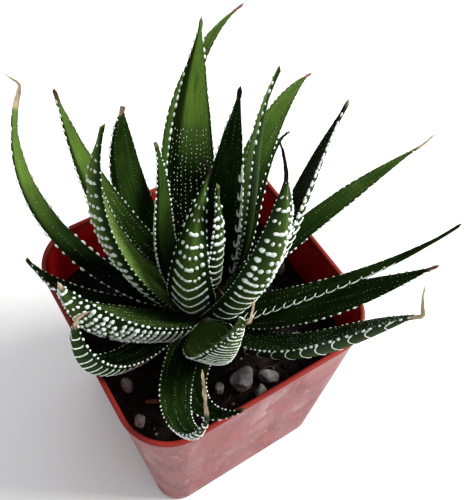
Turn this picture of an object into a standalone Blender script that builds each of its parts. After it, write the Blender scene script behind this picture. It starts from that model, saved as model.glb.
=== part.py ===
# A zebra haworthia in a square plastic nursery pot, life size, in metres, +Z up.
# The origin is at the middle of the pot's underside. The plant is a rosette of thick,
# tapering leaves on a short stem. White tubercles stand in bands across each leaf's back
# and in a row along both margins, and some leaves end in a thin dried whisker.
import math

import bmesh
import bpy
import numpy as np
from mathutils import Matrix, Vector, noise
from mathutils.bvhtree import BVHTree

mm = 0.001
fit_gap = 0.3 * mm
seat_gap = 0.4 * mm

# square pot, outer sizes
pot_height = 80 * mm
pot_top_half = 35 * mm
pot_base_half = 30 * mm
pot_top_corner = 13 * mm
pot_base_corner = 8 * mm
pot_wall = 1.0 * mm
pot_floor = 1.5 * mm
pot_foot_round = 0.8 * mm
rim_bead = 0.35 * mm
rim_bead_height = 2.0 * mm
corner_steps = 6
soil_side_steps = 4
drain_hole_radius = 3.5 * mm
drain_hole_offset = 17 * mm
drain_hole_sides = 12

# potting soil
soil_edge_level = 61.5 * mm
soil_mound = 2.2 * mm
soil_lump = 0.8 * mm
soil_lump_pitch = 7 * mm
soil_rings = 5

# short stem, turned from height and radius, standing in a plain hole in the soil
stem_foot_level = 55 * mm
stem_foot_radius = 8.2 * mm
stem_profile = [
    (stem_foot_level, stem_foot_radius),
    (64 * mm, 8.6 * mm),
    (67 * mm, 7.9 * mm),
    (70 * mm, 6.6 * mm),
    (73 * mm, 5.4 * mm),
    (76 * mm, 3.8 * mm),
    (79 * mm, 2.2 * mm),
    (80.5 * mm, 1.0 * mm),
]
stem_hole_radius = 9.1 * mm
stem_sides = 16

# leaf section, in shares of the leaf's width
channel_depth = 0.04
face_points = [0.42, -0.42]
back_points = [-0.74, -0.38, 0.0, 0.38, 0.74]
full_back_power = 1.7
full_back_end = 0.1
keeled_back_power = 1.25
keeled_back_start = 0.75
least_thickness = 0.8 * mm
tip_width = 0.9 * mm
tip_point = 1.2 * mm

# leaf outline along its length: narrow root, full shoulder, then the taper
root_width_share = 0.42
root_reach = 0.14
shoulder = 0.2

# tubercle bands, of true width and height and wide apart, dipping to the root at the keel
band_pitch = 6.4 * mm
band_half_width = 0.42 * mm
band_height = 0.42 * mm
band_dip_share = 0.16
first_band = 9 * mm
last_band = 4 * mm
path_steps = 240
whisker_rings = 4

# pebbles, as (x, y, length, width, height, turn) in millimetres and degrees
pebbles = [
    (-1.2, -23.9, 8.2, 7.2, 5.2, 20),
    (5.7, -26.8, 5.8, 4.4, 3.6, -35),
    (1.4, -29.4, 4.4, 3.4, 3.2, 60),
    (-7.6, -22.6, 3.6, 2.6, 2.6, 70),
    (-28.5, -9, 4.6, 3.4, 2.8, 80),
    (-30, -19.4, 4.4, 3.4, 2.6, 60),
    (-21, -27.5, 4.6, 3.2, 2.6, -20),
    (27.5, 1.5, 6.0, 4.4, 3.6, 75),
    (22, -9, 5.4, 4.0, 3.2, 15),
    (26, 16, 5.6, 4.4, 3.4, 50),
    (12, 26.5, 5.8, 4.2, 3.4, 5),
    (-16, 26, 5.4, 4.0, 3.2, -40),
]
pebble_columns = 7
pebble_rows = 5
pebble_roughness = 0.16

# bark sliver, as a small bar lying on the soil
bark_length = 9 * mm
bark_width = 1.4 * mm
bark_thickness = 1.0 * mm
bark_place = (-22.5 * mm, -17.5 * mm)
bark_turn = math.radians(-28)

made = []


def clear_scene():
    for thing in list(bpy.data.objects):
        bpy.data.objects.remove(thing, do_unlink=True)


def surface_material(name, colour, roughness):
    material = bpy.data.materials.new(name)
    material.use_nodes = True
    shader = material.node_tree.nodes["Principled BSDF"]
    shader.inputs["Base Color"].default_value = (*colour, 1.0)
    shader.inputs["Roughness"].default_value = roughness
    shader.inputs["Metallic"].default_value = 0.0
    return material


def add_piece(name, bm, material):
    # one closed body with its faces pointing out, shaded smooth between sharp edges
    bmesh.ops.recalc_face_normals(bm, faces=bm.faces)
    mesh = bpy.data.meshes.new(name)
    bm.to_mesh(mesh)
    bm.free()
    mesh.materials.append(material)
    mesh.shade_smooth()
    mesh.set_sharp_from_angle(angle=math.radians(50))
    piece = bpy.data.objects.new(name, mesh)
    bpy.context.scene.collection.objects.link(piece)
    made.append(piece)
    return piece


def join_rings(bm, lower, upper):
    count = len(lower)
    for i in range(count):
        j = (i + 1) % count
        bm.faces.new((lower[i], lower[j], upper[j], upper[i]))


def rounded_square(half, corner, level, side_steps=1):
    # points of a square with round corners, anticlockwise from the +X side
    points = []
    straight = 2 * (half - corner)
    for quarter in range(4):
        turn = quarter * math.pi / 2
        sign_x = 1 if quarter in (0, 3) else -1
        sign_y = 1 if quarter in (0, 1) else -1
        for step in range(corner_steps + 1):
            angle = turn + step / corner_steps * math.pi / 2
            x = sign_x * (half - corner) + corner * math.cos(angle)
            y = sign_y * (half - corner) + corner * math.sin(angle)
            points.append(Vector((x, y, level)))
        run = Vector((-math.cos(turn), -math.sin(turn), 0))
        for step in range(1, side_steps):
            points.append(Vector((x, y, level)) + run * straight * step / side_steps)
    return points


def pot_half_at(level):
    return pot_base_half + (pot_top_half - pot_base_half) * level / pot_height


def pot_corner_at(level):
    return pot_base_corner + (pot_top_corner - pot_base_corner) * level / pot_height


def pot_ring(bm, level, offset, side_steps=1):
    half = pot_half_at(level) + offset
    corner = pot_corner_at(level) + offset
    return [bm.verts.new(point) for point in rounded_square(half, corner, level, side_steps)]


def drain_hole_cutter(x, y):
    bm = bmesh.new()
    place = Matrix.Translation((x, y, 0))
    bmesh.ops.create_cone(bm, cap_ends=True, segments=drain_hole_sides, depth=4 * pot_floor,
                          radius1=drain_hole_radius, radius2=drain_hole_radius, matrix=place)
    mesh = bpy.data.meshes.new("drain_hole_cutter")
    bm.to_mesh(mesh)
    bm.free()
    cutter = bpy.data.objects.new("drain_hole_cutter", mesh)
    bpy.context.scene.collection.objects.link(cutter)
    cutter.hide_render = True
    cutter.display_type = "WIRE"
    return cutter


def make_pot(material):
    bm = bmesh.new()
    bead_foot = pot_height - rim_bead_height
    rings = [
        pot_ring(bm, 0, -pot_foot_round),
        pot_ring(bm, 0.3 * pot_foot_round, -0.3 * pot_foot_round),
        pot_ring(bm, pot_foot_round, 0),
        pot_ring(bm, bead_foot, 0),
        pot_ring(bm, bead_foot + rim_bead, rim_bead),
        pot_ring(bm, pot_height - rim_bead, rim_bead),
        pot_ring(bm, pot_height, 0),
        pot_ring(bm, pot_height, -0.7 * pot_wall),
        pot_ring(bm, pot_height - rim_bead, -pot_wall),
        pot_ring(bm, pot_floor, -pot_wall),
    ]
    for lower, upper in zip(rings, rings[1:]):
        join_rings(bm, lower, upper)
    bm.faces.new(list(reversed(rings[0])))
    bm.faces.new(rings[-1])
    pot = add_piece("pot", bm, material)
    for side_x in (-1, 1):
        for side_y in (-1, 1):
            cut = pot.modifiers.new("drain hole", "BOOLEAN")
            cut.operation = "DIFFERENCE"
            cut.object = drain_hole_cutter(side_x * drain_hole_offset, side_y * drain_hole_offset)
    return pot


def soil_level_at(x, y):
    # a low mound about the stem with small even lumps
    reach = min(1.0, math.hypot(x, y) / pot_top_half)
    lump = noise.noise(Vector((x, y, 0)) / soil_lump_pitch)
    return soil_edge_level + soil_mound * (1 - reach * reach) + soil_lump * lump


def make_soil(material):
    bm = bmesh.new()
    floor_level = pot_floor + fit_gap
    inset = pot_wall + fit_gap
    base = pot_ring(bm, floor_level, -inset, soil_side_steps)
    edge = pot_ring(bm, soil_edge_level, -inset, soil_side_steps)
    for vert in edge:
        vert.co.z = soil_level_at(vert.co.x, vert.co.y)
    bm.faces.new(list(reversed(base)))
    join_rings(bm, base, edge)
    outer = [vert.co.copy() for vert in edge]
    previous = edge
    for step in range(1, soil_rings + 1):
        share = step / soil_rings
        ring = []
        for point in outer:
            flat = Vector((point.x, point.y, 0))
            place = flat.lerp(flat.normalized() * stem_hole_radius, share)
            ring.append(bm.verts.new((place.x, place.y, soil_level_at(place.x, place.y))))
        join_rings(bm, previous, ring)
        previous = ring
    hole_floor = [bm.verts.new((v.co.x, v.co.y, stem_foot_level - fit_gap)) for v in previous]
    join_rings(bm, previous, hole_floor)
    bm.faces.new(hole_floor)
    return add_piece("soil", bm, material)


def stem_radius_at(level):
    levels = [point[0] for point in stem_profile]
    radii = [point[1] for point in stem_profile]
    return float(np.interp(level, levels, radii))


def make_stem(material):
    bm = bmesh.new()
    rings = []
    for level, radius in stem_profile:
        ring = []
        for side in range(stem_sides):
            angle = 2 * math.pi * side / stem_sides
            ring.append(bm.verts.new((radius * math.cos(angle), radius * math.sin(angle), level)))
        rings.append(ring)
    for lower, upper in zip(rings, rings[1:]):
        join_rings(bm, lower, upper)
    bm.faces.new(list(reversed(rings[0])))
    bm.faces.new(rings[-1])
    return add_piece("stem", bm, material)


def direction(rise, heading):
    # unit vectors along the leaf and out of its upper face, for angles in degrees
    rise = np.radians(rise)
    heading = np.radians(heading)
    along = np.stack([np.cos(rise) * np.cos(heading), np.cos(rise) * np.sin(heading), np.sin(rise)], -1)
    face = np.stack([-np.sin(rise) * np.cos(heading), -np.sin(rise) * np.sin(heading), np.cos(rise)], -1)
    return along, face


class LeafPath:
    # a leaf's centre line and frame, read by the distance from its root

    def __init__(self, heading, rise, length, lift, curl, sweep, swing, roll, twist, whisker):
        t = (np.arange(path_steps) + 0.5) / path_steps
        along, face = direction(rise + lift * t + curl * t * t, heading + sweep * t + swing * t * t)
        side = np.cross(along, face)
        turn = np.radians(roll + twist * t)[:, None]
        faces = list(np.cos(turn) * face + np.sin(turn) * side)
        steps = [length / path_steps] * path_steps
        alongs = list(along)
        for piece_length, piece_rise, piece_heading in whisker:
            target, _ = direction(piece_rise, piece_heading)
            start = alongs[-1]
            count = 24
            for i in range(count):
                mixed = start + (target - start) * min(1, 2 * (i + 1) / count)
                mixed = mixed / np.linalg.norm(mixed)
                kept = faces[-1] - mixed * float(np.dot(faces[-1], mixed))
                alongs.append(mixed)
                faces.append(kept / np.linalg.norm(kept))
                steps.append(piece_length / count)
        self.along = np.array(alongs)
        self.face = np.array(faces)
        steps = np.array(steps)
        self.middles = np.cumsum(steps) - steps / 2
        self.ends = np.concatenate([[0], np.cumsum(steps)])
        self.points = np.vstack([[0, 0, 0], np.cumsum(self.along * steps[:, None], 0)])
        self.whole = float(self.ends[-1])

    def read(self, table, stops, distance):
        return Vector([float(np.interp(distance, stops, table[:, axis])) for axis in range(3)])

    def frame(self, distance):
        centre = self.read(self.points, self.ends, distance)
        along = self.read(self.along, self.middles, distance).normalized()
        face = self.read(self.face, self.middles, distance)
        face = (face - along * face.dot(along)).normalized()
        return centre, face, along.cross(face)


def leaf_width_at(distance, length, width, fullness):
    t = min(distance / length, 1)
    rooting = root_width_share + (1 - root_width_share) * min(t / root_reach, 1) ** 0.8
    taper = 1 - max(0, (t - shoulder) / (1 - shoulder)) ** fullness
    return max(width * min(rooting, 1) * taper, tip_width)


def section_points():
    # places across the leaf from -1 to 1, with 1 for the tubercled back and margins
    points = [(1, 0)] + [(x, None) for x in face_points] + [(-1, 0)]
    return points + [(x, 1) for x in back_points]


def back_power(share):
    # power of the back's curve, which is full near the root and keeled towards the tip
    along = min(1, max(0, (share - full_back_end) / (keeled_back_start - full_back_end)))
    return full_back_power + (keeled_back_power - full_back_power) * along


def leaf_point(path, distance, x, part, band, length, width, fullness, keel):
    here = leaf_width_at(distance, length, width, fullness)
    if part == 1:
        # the back's bands dip towards the root at the keel
        grown = min(1, distance / (root_reach * length))
        distance = max(0, distance - band_dip_share * here * grown * (1 - x * x))
    centre, face, side = path.frame(distance)
    thickness = max(keel * here, least_thickness)
    if part == 1:
        height = -thickness * (1 - abs(x) ** back_power(distance / length))
    elif part is None:
        height = -channel_depth * here * (1 - x * x)
    else:
        height = 0
    out = side * (x * here / 2) + face * height
    if part is not None and band > 0:
        outward = (out + face * (0.35 * thickness)).normalized()
        out = out + outward * (band * band_height)
    return centre + out


def ring_stops(length):
    # root, then foot, crest and foot of every band, then the tip
    stops = [(0, 0), (0.5 * first_band, 0)]
    place = first_band
    while place < length - last_band:
        stops += [(place - band_half_width, 0), (place, 1), (place + band_half_width, 0)]
        place += band_pitch
    stops.append((length, 0))
    return stops


def seat_distance(points, level, heading):
    # how far out along the heading the root sits to lie one gap off the stem
    out = Vector((math.cos(heading), math.sin(heading), 0))
    across = Vector((-math.sin(heading), math.cos(heading), 0))
    needed = 0
    for point in points:
        clear = stem_radius_at(level + point.z) + seat_gap
        sideways = point.dot(across)
        if abs(sideways) < clear:
            needed = max(needed, math.sqrt(clear ** 2 - sideways ** 2) - point.dot(out))
    return needed


def make_leaf(name, material, heading, rise, level, length, width, fullness=1.8, keel=0.38,
              lift=0, curl=0, sweep=0, swing=0, roll=0, twist=0, bearing=None, whisker=()):
    # angles are in degrees and sizes in millimetres; lift and curl bend the leaf upwards,
    # sweep and swing turn it sideways, each by the first and second power of the way along,
    # roll turns the leaf about its length and twist turns it further towards the tip,
    # bearing is the root's place about the stem, and keel the back's depth in leaf widths
    length = length * mm
    width = width * mm
    whisker = [(piece[0] * mm, piece[1], piece[2]) for piece in whisker]
    path = LeafPath(heading, rise, length, lift, curl, sweep, swing, roll, twist, whisker)
    stops = ring_stops(length)
    extra = path.whole - length
    if extra > 0:
        stops += [(length + extra * (i + 1) / whisker_rings, 0) for i in range(whisker_rings)]
    rings = []
    for distance, band in stops:
        rings.append([leaf_point(path, distance, x, part, band, length, width, fullness, keel)
                      for x, part in section_points()])
    turn = math.radians(heading if bearing is None else bearing)
    near_root = rings[0] + rings[1] + rings[2]
    seat = seat_distance(near_root, level * mm, turn)
    root = Vector((seat * math.cos(turn), seat * math.sin(turn), level * mm))
    bm = bmesh.new()
    rows = [[bm.verts.new(point + root) for point in ring] for ring in rings]
    for lower, upper in zip(rows, rows[1:]):
        join_rings(bm, lower, upper)
    bm.faces.new(list(reversed(rows[0])))
    end, _, _ = path.frame(path.whole)
    along = path.read(path.along, path.middles, path.whole)
    point = bm.verts.new(root + end + along * tip_point)
    for i, vert in enumerate(rows[-1]):
        bm.faces.new((vert, rows[-1][(i + 1) % len(rows[-1])], point))
    return add_piece(name, bm, material)


def make_inner_leaves(material):
    make_leaf("inner_leaf_1", material, heading=158, rise=64, level=77.8, length=59.5, width=8,
              fullness=1.8, lift=85, curl=-65, sweep=9, swing=3, roll=-37, twist=-26,
              bearing=152)
    make_leaf("inner_leaf_2", material, heading=298, rise=88, level=79.3, length=45, width=8,
              fullness=2.4, lift=-3, curl=5, sweep=29, swing=6, roll=3, bearing=298)
    make_leaf("inner_leaf_3", material, heading=224, rise=69, level=76.6, length=48.5, width=12.3,
              fullness=1.35, lift=50, curl=23, sweep=-11, swing=5, roll=11, bearing=214,
              whisker=[(4.8, 50, 140)])
    make_leaf("inner_leaf_4", material, heading=14, rise=84, level=76.8, length=66, width=12.5,
              fullness=1.7, lift=-1, sweep=5, swing=2, roll=12, bearing=13)
    make_leaf("inner_leaf_5", material, heading=73, rise=58, level=75, length=70, width=14.5,
              fullness=1.8, lift=5, curl=12, sweep=-22, swing=-17, bearing=66)
    make_leaf("inner_leaf_6", material, heading=172, rise=62, level=74.3, length=75.5, width=12.5,
              fullness=2.6, lift=16, curl=30, sweep=-36, swing=-3, roll=-4, twist=30,
              bearing=171)
    make_leaf("inner_leaf_7", material, heading=304, rise=62, level=74.8, length=69.5, width=15,
              fullness=2, keel=0.34, lift=26, curl=6, sweep=-2, swing=-8, roll=-26, bearing=258,
              whisker=[(5.8, 45, 80)])


def make_middle_leaves(material):
    make_leaf("middle_leaf_1", material, heading=135, rise=59, level=71, length=74.5, width=14,
              fullness=1.15, lift=24, curl=3, sweep=-9, swing=1, roll=-13, bearing=140)
    make_leaf("middle_leaf_2", material, heading=9, rise=65, level=71.8, length=74.5, width=10,
              fullness=1.8, lift=82, curl=-76, sweep=-13, swing=-4, roll=-26, bearing=14)
    make_leaf("middle_leaf_3", material, heading=332, rise=51, level=71.9, length=72, width=12,
              fullness=1.8, lift=92, curl=-84, sweep=36, swing=5, roll=-8, twist=-28,
              bearing=325)
    make_leaf("middle_leaf_4", material, heading=246, rise=36, level=70, length=58.5, width=14,
              fullness=2.6, keel=0.45, lift=102, curl=-74, sweep=5, swing=36, roll=19, bearing=244,
              whisker=[(5.2, 60, 40)])
    make_leaf("middle_leaf_5", material, heading=196, rise=46, level=72.4, length=59.5, width=13.5,
              fullness=3.1, keel=0.48, curl=36, sweep=-75, swing=89, roll=26, bearing=213)
    make_leaf("middle_leaf_6", material, heading=318, rise=40, level=69.9, length=68, width=11.5,
              fullness=0.75, lift=5, curl=-19, sweep=5, swing=32, roll=-21, bearing=299)
    make_leaf("middle_leaf_7", material, heading=83, rise=49, level=70, length=84.5, width=9,
              fullness=1.8, lift=-10, curl=-31, sweep=-57, swing=-14, roll=4, bearing=82)
    make_leaf("middle_leaf_8", material, heading=35, rise=47, level=69.6, length=73.5, width=9.5,
              fullness=2.2, lift=-14, curl=-51, sweep=12, swing=-25, bearing=31)
    make_leaf("middle_leaf_9", material, heading=225, rise=25, level=67.5, length=74, width=8.5,
              fullness=1.8, lift=20, curl=47, sweep=13, swing=75, roll=-21, bearing=221,
              whisker=[(9, 55, 66)])


def make_outer_leaves(material):
    make_leaf("outer_leaf_1", material, heading=150, rise=33, level=69.1, length=75, width=6.6,
              fullness=2.2, lift=-5, sweep=-65, swing=-34, roll=7,
              whisker=[(3.8, 45, 33), (5, 25, 125)])
    make_leaf("outer_leaf_2", material, heading=109, rise=39, level=68, length=67, width=12,
              fullness=2.6, lift=75, curl=-3, sweep=-9, swing=-5, roll=7, bearing=100)
    make_leaf("outer_leaf_3", material, heading=28, rise=36, level=66.2, length=55, width=7.5,
              fullness=1.6, lift=5, curl=-58, sweep=58, swing=-66, bearing=16)
    make_leaf("outer_leaf_4", material, heading=358, rise=35, level=68.4, length=67.5, width=8,
              fullness=2.4, lift=1, curl=-18, sweep=-5, swing=3, roll=-13, bearing=359,
              whisker=[(4.6, 30, 2)])
    make_leaf("outer_leaf_5", material, heading=312, rise=24, level=67, length=60, width=12,
              fullness=1.8, lift=37, curl=-17, sweep=24, swing=-8, roll=-4, bearing=320)
    make_leaf("outer_leaf_6", material, heading=279, rise=20, level=67.4, length=68, width=12.5,
              fullness=2.8, lift=103, curl=-71, sweep=82, swing=-61, roll=-31, bearing=289,
              whisker=[(1.5, 45, 75), (4.5, 60, 58)])
    make_leaf("outer_leaf_7", material, heading=167, rise=28, level=66.9, length=52.5, width=9,
              fullness=2, lift=40, curl=12, sweep=-10, swing=2, roll=7, bearing=160)
    make_leaf("outer_leaf_8", material, heading=205, rise=21, level=66.4, length=61.5, width=9.5,
              fullness=3.4, keel=0.42, lift=64, curl=19, sweep=5, swing=-27, roll=18, bearing=181,
              whisker=[(3, 25, 345)])
    make_leaf("outer_leaf_9", material, heading=206, rise=8, level=66, length=45, width=8,
              fullness=1.6, lift=58, curl=-8, sweep=76, swing=48, roll=6, bearing=254)


def drop_onto(piece, ground):
    # lower a small piece until it lies one gap above the soil under it
    tree = BVHTree.FromObject(ground, bpy.context.evaluated_depsgraph_get())
    down = Vector((0, 0, -1))
    falls = []
    for vert in piece.data.vertices:
        hit = tree.ray_cast(vert.co, down)[0]
        if hit is not None:
            falls.append(vert.co.z - hit.z)
    lower = min(falls) - fit_gap
    piece.data.transform(Matrix.Translation((0, 0, -lower)))


def make_pebble(name, material, soil, x, y, length, width, height, turn):
    bm = bmesh.new()
    bmesh.ops.create_uvsphere(bm, u_segments=pebble_columns, v_segments=pebble_rows, radius=0.5)
    for vert in bm.verts:
        seed_place = vert.co * 2.2 + Vector((x, y, 0))
        vert.co *= 1 + pebble_roughness * noise.noise(seed_place)
    size = Matrix.Diagonal((length * mm, width * mm, height * mm, 1))
    place = Matrix.Translation((x * mm, y * mm, pot_height))
    spin = Matrix.Rotation(math.radians(turn), 4, "Z")
    bmesh.ops.transform(bm, matrix=place @ spin @ size, verts=bm.verts)
    pebble = add_piece(name, bm, material)
    drop_onto(pebble, soil)
    return pebble


def make_pebbles(material, soil):
    for number, pebble in enumerate(pebbles, 1):
        make_pebble(f"pebble_{number}", material, soil, *pebble)


def make_bark(material, soil):
    bm = bmesh.new()
    bmesh.ops.create_cube(bm, size=1)
    size = Matrix.Diagonal((bark_length, bark_width, bark_thickness, 1))
    place = Matrix.Translation((*bark_place, pot_height))
    bmesh.ops.transform(bm, matrix=place @ Matrix.Rotation(bark_turn, 4, "Z") @ size, verts=bm.verts)
    bmesh.ops.bevel(bm, geom=list(bm.edges), offset=0.2 * mm, segments=1, affect="EDGES")
    bark = add_piece("bark_sliver", bm, material)
    drop_onto(bark, soil)
    return bark


def main():
    clear_scene()
    make_pot(surface_material("red plastic", (0.36, 0.025, 0.012), 0.35))
    soil = make_soil(surface_material("dark soil", (0.018, 0.012, 0.009), 0.95))
    make_stem(surface_material("stem green", (0.10, 0.14, 0.05), 0.7))
    make_inner_leaves(surface_material("young leaf green", (0.06, 0.17, 0.03), 0.4))
    make_middle_leaves(surface_material("leaf green", (0.04, 0.13, 0.025), 0.4))
    make_outer_leaves(surface_material("old leaf green", (0.03, 0.09, 0.02), 0.45))
    make_pebbles(surface_material("grey pebble", (0.32, 0.30, 0.29), 0.8), soil)
    make_bark(surface_material("bark brown", (0.13, 0.05, 0.03), 0.85), soil)
    print(len(made), "pieces")


main()
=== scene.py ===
# A zebra haworthia in a square red nursery pot: finished leaves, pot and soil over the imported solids.
# Sizes are real ones. The origin is at the middle of the pot's underside and +Z is up.
import math

import bmesh
import bpy
import numpy as np
from mathutils import Matrix, Vector, noise


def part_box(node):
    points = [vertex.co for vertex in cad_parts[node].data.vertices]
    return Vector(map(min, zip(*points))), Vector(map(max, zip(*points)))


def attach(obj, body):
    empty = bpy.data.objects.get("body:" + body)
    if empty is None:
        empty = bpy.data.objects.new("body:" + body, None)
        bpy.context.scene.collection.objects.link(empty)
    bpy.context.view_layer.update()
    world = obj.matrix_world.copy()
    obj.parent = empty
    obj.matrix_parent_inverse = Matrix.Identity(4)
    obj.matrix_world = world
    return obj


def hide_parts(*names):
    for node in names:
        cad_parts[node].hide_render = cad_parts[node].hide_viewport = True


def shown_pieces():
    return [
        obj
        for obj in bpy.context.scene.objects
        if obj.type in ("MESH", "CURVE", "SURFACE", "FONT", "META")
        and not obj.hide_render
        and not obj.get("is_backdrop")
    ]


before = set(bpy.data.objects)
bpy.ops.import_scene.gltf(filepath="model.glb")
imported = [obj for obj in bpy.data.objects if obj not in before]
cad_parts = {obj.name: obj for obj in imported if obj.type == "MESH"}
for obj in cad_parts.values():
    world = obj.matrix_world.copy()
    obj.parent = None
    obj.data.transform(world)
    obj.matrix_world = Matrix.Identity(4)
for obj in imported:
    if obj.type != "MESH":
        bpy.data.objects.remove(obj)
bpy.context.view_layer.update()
print("frame loaded,", len(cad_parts), "solids")

mm = 0.001


# Materials

class Wire:
    # a value inside a material; sums written with it add Math nodes

    def __init__(self, surface, socket):
        self.surface = surface
        self.socket = socket

    def math(self, operation, *values):
        return self.surface.add("ShaderNodeMath", {"operation": operation}, dict(enumerate(values)))

    def __add__(self, other):
        return self.math("ADD", self, other)

    def __radd__(self, other):
        return self.math("ADD", other, self)

    def __sub__(self, other):
        return self.math("SUBTRACT", self, other)

    def __rsub__(self, other):
        return self.math("SUBTRACT", other, self)

    def __mul__(self, other):
        return self.math("MULTIPLY", self, other)

    def __rmul__(self, other):
        return self.math("MULTIPLY", other, self)


class Surface:
    # one material with the nodes that feed its shader

    labels = {"colour": "Base Color", "roughness": "Roughness", "normal": "Normal", "coat": "Coat Weight",
              "coatRoughness": "Coat Roughness", "specular": "Specular IOR Level"}

    def __init__(self, name, **fixed):
        self.material = bpy.data.materials.new(name)
        self.material.use_nodes = True
        self.tree = self.material.node_tree
        self.shader = self.tree.nodes["Principled BSDF"]
        self.finish(**fixed)

    def find(self, sockets, key):
        if isinstance(key, int):
            return sockets[key]
        return next(s for s in sockets if key in (s.identifier, s.name))

    def feed(self, socket, value):
        if isinstance(value, Wire):
            self.tree.links.new(value.socket, socket)
        elif socket.type == "RGBA" and len(value) == 3:
            socket.default_value = (*value, 1)
        else:
            socket.default_value = value

    def add(self, kind, settings=None, inputs=None, out=0):
        # settings come first, because they decide which sockets there are
        node = self.tree.nodes.new(kind)
        for key, value in (settings or {}).items():
            if key == "stops":
                ramp = node.color_ramp.elements
                while len(ramp) < len(value):
                    ramp.new(1)
                for stop, (place, colour) in zip(ramp, value):
                    stop.position = place
                    stop.color = (*colour, 1)
            else:
                setattr(node, key, value)
        for key, value in (inputs or {}).items():
            self.feed(self.find(node.inputs, key), value)
        return Wire(self, self.find(node.outputs, out))

    def layer(self, name):
        # a value kept in the mesh, point by point
        return self.add("ShaderNodeAttribute", {"attribute_name": name}, out="Fac")

    def place(self, scale=(1, 1, 1), shift=(0, 0, 0)):
        # object place in millimetres, stretched for grain that runs one way
        where = self.add("ShaderNodeTexCoord", out="Object")
        size = [1000 * s for s in scale]
        return self.add("ShaderNodeMapping", None, {"Vector": where, "Scale": size, "Location": shift})

    def vector(self, x, y, z=0.0):
        return self.add("ShaderNodeCombineXYZ", None, {"X": x, "Y": y, "Z": z})

    def noise(self, place, scale, detail=3.0, roughness=0.5, bend=0.0):
        values = {"Vector": place, "Scale": scale, "Detail": detail, "Roughness": roughness,
                  "Distortion": bend}
        return self.add("ShaderNodeTexNoise", None, values)

    def cells(self, place, scale):
        return self.add("ShaderNodeTexVoronoi", None, {"Vector": place, "Scale": scale}, out="Distance")

    def step(self, value, low, high):
        # soft step from 0 to 1 while the value goes from low to high
        values = {"Value": value, "From Min": low, "From Max": high}
        return self.add("ShaderNodeMapRange", {"interpolation_type": "SMOOTHSTEP"}, values)

    def blend(self, amount, first, second):
        values = {"Factor_Float": amount, "A_Color": first, "B_Color": second}
        return self.add("ShaderNodeMix", {"data_type": "RGBA"}, values, out="Result_Color")

    def ramp(self, value, stops):
        return self.add("ShaderNodeValToRGB", {"stops": stops}, {"Fac": value}, out="Color")

    def bump(self, height, depth, strength=1.0):
        # depth is the height of a full step, in millimetres
        values = {"Height": height, "Distance": depth * mm, "Strength": strength}
        return self.add("ShaderNodeBump", None, values)

    def finish(self, **values):
        for key, value in values.items():
            self.feed(self.shader.inputs[self.labels[key]], value)
        return self.material


# Shared steps

def toMesh(bm, name):
    mesh = bpy.data.meshes.new(name)
    bm.to_mesh(mesh)
    bm.free()
    return mesh


def newObject(name, data):
    thing = bpy.data.objects.new(name, data)
    bpy.context.scene.collection.objects.link(thing)
    return thing


def partsOf(bm):
    # points and faces of a form that goes into a bigger mesh
    bm.verts.index_update()
    points = [vert.co.copy() for vert in bm.verts]
    faces = [[vert.index for vert in face.verts] for face in bm.faces]
    bm.free()
    return points, faces


class Gathered:
    # points, faces, finish numbers and colouring values that become one mesh

    def __init__(self):
        self.points = []
        self.faces = []
        self.finishes = []
        self.layers = {}
        self.count = 0

    def add(self, points, faces, finish, layers=None):
        self.points.append(np.array(points))
        self.faces += [[index + self.count for index in face] for face in faces]
        self.finishes += [finish] * len(faces)
        self.count += len(points)
        for layer, values in (layers or {}).items():
            self.layers.setdefault(layer, []).append(values)

    def build(self, name, finishes, sharpFrom):
        mesh = bpy.data.meshes.new(name)
        mesh.from_pydata(np.vstack(self.points).tolist(), [], self.faces)
        for layer, values in self.layers.items():
            mesh.attributes.new(layer, "FLOAT", "POINT").data.foreach_set("value", np.concatenate(values))
        for finish in finishes:
            mesh.materials.append(finish)
        mesh.polygons.foreach_set("material_index", self.finishes)
        mesh.shade_smooth()
        mesh.set_sharp_from_angle(angle=math.radians(sharpFrom))
        mesh.update()
        return mesh


def showPiece(name, mesh, node):
    # a finished piece takes its solid's place on the one body
    piece = newObject(name, mesh)
    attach(piece, "root")
    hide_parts(node)


# Leaf finishes

leafColours = {
    "shade": (0.0034, 0.0075, 0.0026),   # deepest green, on old upper faces, and the colour of painted shade
    "body": (0.021, 0.045, 0.0085),      # usual green
    "fresh": (0.098, 0.165, 0.034),      # light yellowish green of thin young leaves
    "lit": (0.19, 0.32, 0.058),          # painted light: thin flesh as it looks with light behind it
    "back": (0.0140, 0.0320, 0.0090),    # between the bands
    "backLit": (0.062, 0.106, 0.0270),   # crown of the back between the bands
    "tan": (0.50, 0.38, 0.235),          # dried tips
    "ash": (0.21, 0.185, 0.145),         # grey fibres in them
    "blush": (0.13, 0.045, 0.040),       # reddish ends of sun-stressed tips
    "charred": (0.022, 0.019, 0.014),    # nearly black whiskers
}


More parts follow.
